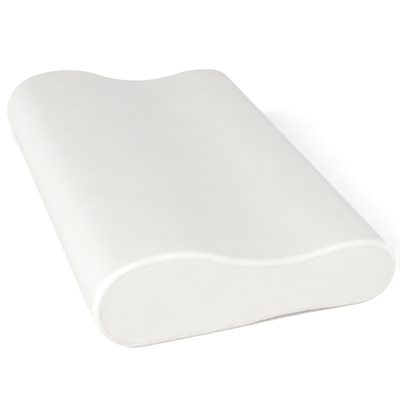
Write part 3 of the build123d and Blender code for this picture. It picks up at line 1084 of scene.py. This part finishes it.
def zip_line(height, offset, half_length, step=10 * MM):
    """A straight line beside the zip, with its outward directions."""
    x = np.arange(-half_length, half_length + step / 2, step)
    distance = np.full(len(x), float(nose_walk(height, LOW_NOSE - offset)))
    point, out = on_section(distance)
    return np.column_stack([x, point - out * offset]), np.column_stack([np.zeros(len(x)), out])


for row, side in (("upper", 1), ("lower", -1)):
    tape = make_tape(f"zip_tape_{row}_woven", side, tape_cloth)
    keep_piece(tape, f"zip_tape_{row}")
    keep_piece(make_coil(f"zip_coil_{row}"), f"zip_coil_{row}")
    path, facing = zip_line(side * (OPENING_HALF + HEM_STITCH), 0.05 * MM, OPENING_END)
    sew(f"hem_stitch_{row}", path, facing, 3 + side, HEM_STITCHES)

for node in ("zip_slider", "zip_pull", "zip_top_stops", "zip_bottom_stop"):
    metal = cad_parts[node]
    metal.data.materials.clear()
    metal.data.materials.append(zinc)


# %% [markdown]
# ## Seam threads
#
# The cover's end panels are joined to the wrap with an overlock seam, whose loops lie across the edge
# inside the pillow. The liner is sewn the same way with finer thread, and a straight seam behind the zip
# closes it once the foam is in.

# %% Make the seam threads
OVERLOCK = {"Turn": math.radians(68), "Unevenness": 0.12}
COVER_SEAM = (2.0 * MM, 1.3 * MM, 0.2 * MM, 0.1 * MM)
LINER_SEAM = (1.6 * MM, 0.8 * MM, 0.1 * MM, 0.05 * MM)
COVER_SEAM_INSET = 1.15 * MM
LINER_SEAM_INSET = 1.95 * MM


def make_seam(node, side, inset, flat, size, seed):
    """A closed overlock seam round an end, facing out of the end panel."""
    distance = np.arange(0, AROUND - 2 * MM, 4 * MM)
    levels = np.array([[side * (HALF_LENGTH - inset), END_EDGE, 0.0, side * SEAM_WALK]]).T
    ring = settle(layer_grid(distance, levels), distance, levels)[:, 0]
    ring[:, 1] = np.minimum(ring[:, 1], flat)
    facing = np.tile([float(side), 0.0, 0.0], (len(ring), 1))
    return sew(node, ring, facing, seed, size, closed=True, **OVERLOCK)


for end, side in (("left", -1), ("right", 1)):
    make_seam(f"cover_seam_{end}", side, COVER_SEAM_INSET, HALF_DEPTH, COVER_SEAM, 31 + side)
    make_seam(
        f"liner_seam_{end}", side, LINER_SEAM_INSET, LINER_FLAT - LINER_WALL / 2, LINER_SEAM, 41 + side
    )


# %% [markdown]
# ## The liner and the foam
#
# The liner is a light warp-knit tube with two end panels, which follows the foam and lies flat behind
# the zip. The foam is one moulded block of open-cell polyurethane with the same rounded ends: fine pores,
# a soft cream colour and a little light passing into it. Both follow the settled cover, a little further
# in, so that nothing pokes through.

# %% Liner and foam materials
def tricot():
    """Fine ribs and a faint sheen, thinner and smoother than the cover."""
    material, tree, flat = start_material("polyester_tricot_knit", "UV")
    wave = {"Vector": flat, "Scale": per_ridge(0.8 * MM)}
    ribs = add(tree, "ShaderNodeTexWave", wave, bands_direction="X").outputs["Fac"]
    _, colour = drifting_colour(tree, flat, 20 * MM, "#EDEBE7", "#F3F1EE")
    finish_material(tree, {
        "Base Color": colour,
        "Normal": add(tree, "ShaderNodeBump", {"Height": ribs, "Strength": 0.4, "Distance": 0.08 * MM}),
        "Roughness": 0.6,
        "IOR": 1.5,
        "Sheen Weight": 0.15,
    })
    return material


def memory_foam():
    """Matt and porous, with a little light passing in, so its edges look soft."""
    material, tree, place_on = start_material("polyurethane_memory_foam", "Object")
    cells = add(tree, "ShaderNodeTexVoronoi", {"Vector": place_on, "Scale": 1 / (1.2 * MM)})
    _, colour = drifting_colour(tree, place_on, 60 * MM, "#F0E6CC", "#F4ECD8")
    finish_material(tree, {
        "Base Color": colour,
        "Normal": add(tree, "ShaderNodeBump", {"Height": cells, "Strength": 0.7, "Distance": 0.3 * MM}),
        "Roughness": 0.9,
        "IOR": 1.45,
        "Subsurface Weight": 0.2,
        "Subsurface Radius": (2.5 * MM, 1.8 * MM, 1.2 * MM),
    })
    return material


# %% Make the liner and the foam
LINER_DEPTH = COVER_WALL + LAYER_GAP
FOAM_DEPTH = LINER_DEPTH + LINER_WALL + LAYER_GAP
LINER_FACES = ((LINER_DEPTH, LINER_FLAT), (LINER_DEPTH + LINER_WALL, LINER_FLAT - LINER_WALL))
INNER_REACHES = [0.25, 0.5, 0.75, 1.0]
INNER_TUBE = np.linspace(-TUBE_END, TUBE_END, 75)
liner_rows = tidy_rows([0.0, 7 * MM, 13 * MM, 17 * MM], 4 * MM)
liner_cloth = tricot()


def inner_grid(distance, levels, flat):
    """A settled surface inside the cover, kept flat behind the zip."""
    grid = settle(layer_grid(distance, levels), distance, levels)
    grid[..., 1] = np.minimum(grid[..., 1], flat)
    return grid


# %% Shape the liner and the foam
def make_liner_wrap():
    """The liner's tube, from its outer and inner face."""
    walls = []
    for depth, flat in LINER_FACES:
        levels = both_ends(INNER_TUBE, depth, edge_levels(depth, 6))
        walls.append(inner_grid(liner_rows, levels, flat))
    return make_cloth("liner_wrap_cloth", *walls, liner_cloth, spread(liner_rows, levels[3]))


def make_liner_end(name, side):
    """One end panel of the liner."""
    walls = []
    for depth, flat in LINER_FACES:
        right = panel_levels(depth, [6.1 * MM, 8 * MM, 11 * MM, RING_DEPTH], INNER_REACHES)
        walls.append(inner_grid(liner_rows, one_end(both_ends([], depth, right), side), flat))
    return make_cloth(name, *walls, liner_cloth, middle=middle_column(side))


def make_foam(material):
    """The foam block, closed at its ends along the middle lines."""
    distance = tidy_rows([0.0, 8 * MM, 14 * MM, 18 * MM], 5 * MM)
    panel = panel_levels(FOAM_DEPTH, [8 * MM, 11 * MM, RING_DEPTH], INNER_REACHES)
    levels = both_ends(INNER_TUBE, FOAM_DEPTH, edge_levels(FOAM_DEPTH, 5) + panel)
    grid = inner_grid(distance, levels, FOAM_FLAT)
    index = number(grid)
    for column in (0, -1):
        share_middle(index, column)
    return make_piece("foam_core_block", grid.reshape(-1, 3), grid_cells(index), material)


# %% Keep the liner and the foam, and sew the liner shut
keep_piece(make_foam(memory_foam()), "foam_core")
keep_piece(make_liner_wrap(), "liner_wrap")
for end, side in (("left", -1), ("right", 1)):
    panel = make_liner_end(f"liner_end_{end}_cloth", side)
    keep_piece(panel, f"liner_end_{end}")

closing_low, closing_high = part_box("liner_closing_seam")
closing_x = np.linspace(closing_low.x, closing_high.x, 60)
closing_place = np.tile([closing_low.y + 0.1 * MM, (closing_low.z + closing_high.z) / 2], (60, 1))
closing_path = np.column_stack([closing_x, closing_place])
CLOSING_STITCHES = (2.6 * MM, 2.1 * MM, 0.16 * MM, 0.15 * MM)
sew("liner_closing_seam", closing_path, np.tile([0, 1, 0], (60, 1)), 51, CLOSING_STITCHES)


# %% [markdown]
# ## The care label
#
# A small blank satin ribbon, sewn by its top edge under the seam of the left end panel. Nothing holds its
# lower edge, so it lifts a little from the panel and curls. The panel swells, so the ribbon is laid on
# the panel's real surface.

# %% Make the label
LABEL_SIZE = (0.022, 0.034)
LABEL_WALL = 0.3 * MM
LABEL_STITCH_DROP = 2.5 * MM
LABEL_CURL = 2.6 * MM
LABEL_SWAY = 0.35 * MM
LABEL_STITCHES = (2.2 * MM, 1.8 * MM, 0.16 * MM, 0.18 * MM)


def satin_ribbon():
    """Long floats stretch the highlight across the ribbon."""
    material, tree, flat = start_material("woven_satin_ribbon", "UV")
    wave = {"Vector": flat, "Scale": per_ridge(0.35 * MM)}
    floats = add(tree, "ShaderNodeTexWave", wave, bands_direction="X").outputs["Fac"]
    finish_material(tree, {
        "Base Color": linear("#F4F3F0"),
        "Normal": add(tree, "ShaderNodeBump", {"Height": floats, "Strength": 0.25, "Distance": 0.04 * MM}),
        "Roughness": 0.35,
        "IOR": 1.55,
        "Anisotropic": 0.5,
    })
    return material


def panel_face(panel):
    """A function that gives the left panel's face, as X, at a place (y, z) below its seam."""
    tree = BVHTree.FromObject(panel, bpy.context.evaluated_depsgraph_get())
    highest = VALLEY_TOP - END_EDGE - 2 * MM
    return lambda y, z: tree.ray_cast(Vector((-0.4, y, min(z, highest))), Vector((1, 0, 0)))[0].x


# %% Shape the ribbon
def make_label(material):
    """The ribbon and its outer points, hung from the top of its CAD solid."""
    low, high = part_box("care_label")
    face = panel_face(cover_end_left)
    across, down = np.linspace(0, 1, 13), np.linspace(0, 1, 19)
    points = np.zeros((len(down), len(across), 3))
    for row, share in enumerate(down):
        curl = LABEL_CURL * ease((share - 0.15) / 0.85) * (1 - 0.25 * ease((share - 0.8) / 0.2))
        for column, side_share in enumerate(across):
            sway = LABEL_SWAY * share * math.sin(2.2 * math.pi * side_share + 0.8)
            y = low.y + (high.y - low.y) * side_share
            x = face(y, high.z - share * LABEL_SIZE[1]) - 0.12 * MM - curl - sway - LABEL_WALL
            points[row, column] = (x, y, high.z - share * (LABEL_SIZE[1] - 0.3 * MM))
    back = points + np.array([LABEL_WALL, 0, 0])
    index = number(points)[::-1]
    faces = wall_faces(index, index + index.size, closed=False)
    both = np.concatenate([points.reshape(-1, 3), back.reshape(-1, 3)])
    flat = np.stack(np.meshgrid(across * LABEL_SIZE[0], down * LABEL_SIZE[1]), axis=-1).reshape(-1, 2)
    return make_piece("care_label_ribbon", both, faces, material, np.concatenate([flat, flat]), 40), points


label, label_points = make_label(satin_ribbon())
keep_piece(label, "care_label")
stitch_row = round(LABEL_STITCH_DROP / LABEL_SIZE[1] * (len(label_points) - 1))
label_path = label_points[stitch_row][::-1] + np.array([-0.02 * MM, 0, 0])
sew("label_stitch", label_path, np.tile([-1, 0, 0], (len(label_path), 1)), 61, LABEL_STITCHES)


# %% [markdown]
# ## Camera, light and floor
#
# The camera stands off the right end, a little towards the high lobe, and looks down at about 29
# degrees. A broad soft light above the high lobe does most of the lighting. Three weaker ones bring out
# the near corner, the rolled edge and the zip side, a softbox lights the near end, and a pale sky and a
# pale floor fill the shadows.

# %% Camera
CAMERA_TURN = math.radians(71.4)
CAMERA_RISE = math.radians(28.7)
CAMERA_DISTANCE = 1.2174
CAMERA_TARGET = Vector((0.0342, 0.0174, 0.0311))


def direction(turn, rise):
    """A direction from how far it goes round from +X towards +Y, and how high above the floor."""
    return Vector((math.cos(rise) * math.cos(turn), math.cos(rise) * math.sin(turn), math.sin(rise)))


def stand(name, data, place, target):
    """A camera or a lamp that stands at a place and looks at a target."""
    thing = put_in_scene(name, data)
    thing.location = place
    thing.rotation_euler = (Vector(target) - Vector(place)).to_track_quat("-Z", "Y").to_euler()
    return thing


lens = bpy.data.cameras.new("camera")
lens.sensor_width = 36.0
lens.lens = 94.3
lens.clip_start = 0.01
lens.clip_end = 50.0
from_target = CAMERA_DISTANCE * direction(CAMERA_TURN - math.pi / 2, CAMERA_RISE)
bpy.context.scene.camera = stand("camera", lens, CAMERA_TARGET + from_target, CAMERA_TARGET)
print("camera stands at", [round(v, 3) for v in bpy.context.scene.camera.location])


# %% Light
SUN_SOFTNESS = math.radians(40)
for name, turn, rise, strength, colour in (
    ("high_lobe_side", 270, 30, 1.5, "#FAFFFF"),
    ("near_corner", 315, 12, 0.45, "#FBFFFF"),
    ("edge", 345, 50, 0.98, "#FFF9F5"),
    ("zip_side", 90, 14, 1.7, "#FFFFFF"),
):
    light = bpy.data.lights.new(name, "SUN")
    light.energy = strength
    light.angle = SUN_SOFTNESS
    light.color = linear(colour)[:3]
    stand(name, light, 2 * direction(math.radians(turn), math.radians(rise)), (0, 0, 0))

near_softbox = bpy.data.lights.new("near_softbox", "AREA")
near_softbox.shape = "DISK"
near_softbox.size = 0.6
near_softbox.energy = 2.1
stand("near_softbox", near_softbox, (0.75, -0.1, 1.0), (0.15, 0, 0.05))

world = bpy.data.worlds.new("studio")
bpy.context.scene.world = world
world.use_nodes = True
world.node_tree.nodes.clear()
sky = add(world.node_tree, "ShaderNodeBackground", {"Color": linear("#F7FAFF"), "Strength": 0.15})
add(world.node_tree, "ShaderNodeOutputWorld", {"Surface": sky})
bpy.context.scene.view_settings.view_transform = "Standard"


# %% Floor
FLOOR_HALF = 60.0
FLOOR_WHITE = 0.9
SEEN_BRIGHTER = 0.41


def white_sweep():
    """White paper. The camera sees it a little brighter than it is, so that it stays white all over."""
    material = bpy.data.materials.new("white_sweep")
    material.use_nodes = True
    tree = material.node_tree
    tree.nodes.clear()
    seen = add(tree, "ShaderNodeLightPath").outputs["Is Camera Ray"]
    white = add(
        tree, "ShaderNodeMath", {0: seen, 1: SEEN_BRIGHTER, 2: FLOOR_WHITE}, operation="MULTIPLY_ADD"
    )
    finish_material(tree, {"Color": white}, "ShaderNodeBsdfDiffuse")
    return material


floor_mesh = bpy.data.meshes.new("floor")
corners = [(x * FLOOR_HALF, y * FLOOR_HALF, 0) for x, y in ((-1, -1), (1, -1), (1, 1), (-1, 1))]
floor_mesh.from_pydata(corners, [], [(0, 1, 2, 3)])
floor_mesh.materials.append(white_sweep())
put_in_scene("floor", floor_mesh)
print(f"floor is {2 * FLOOR_HALF:.0f} m wide")
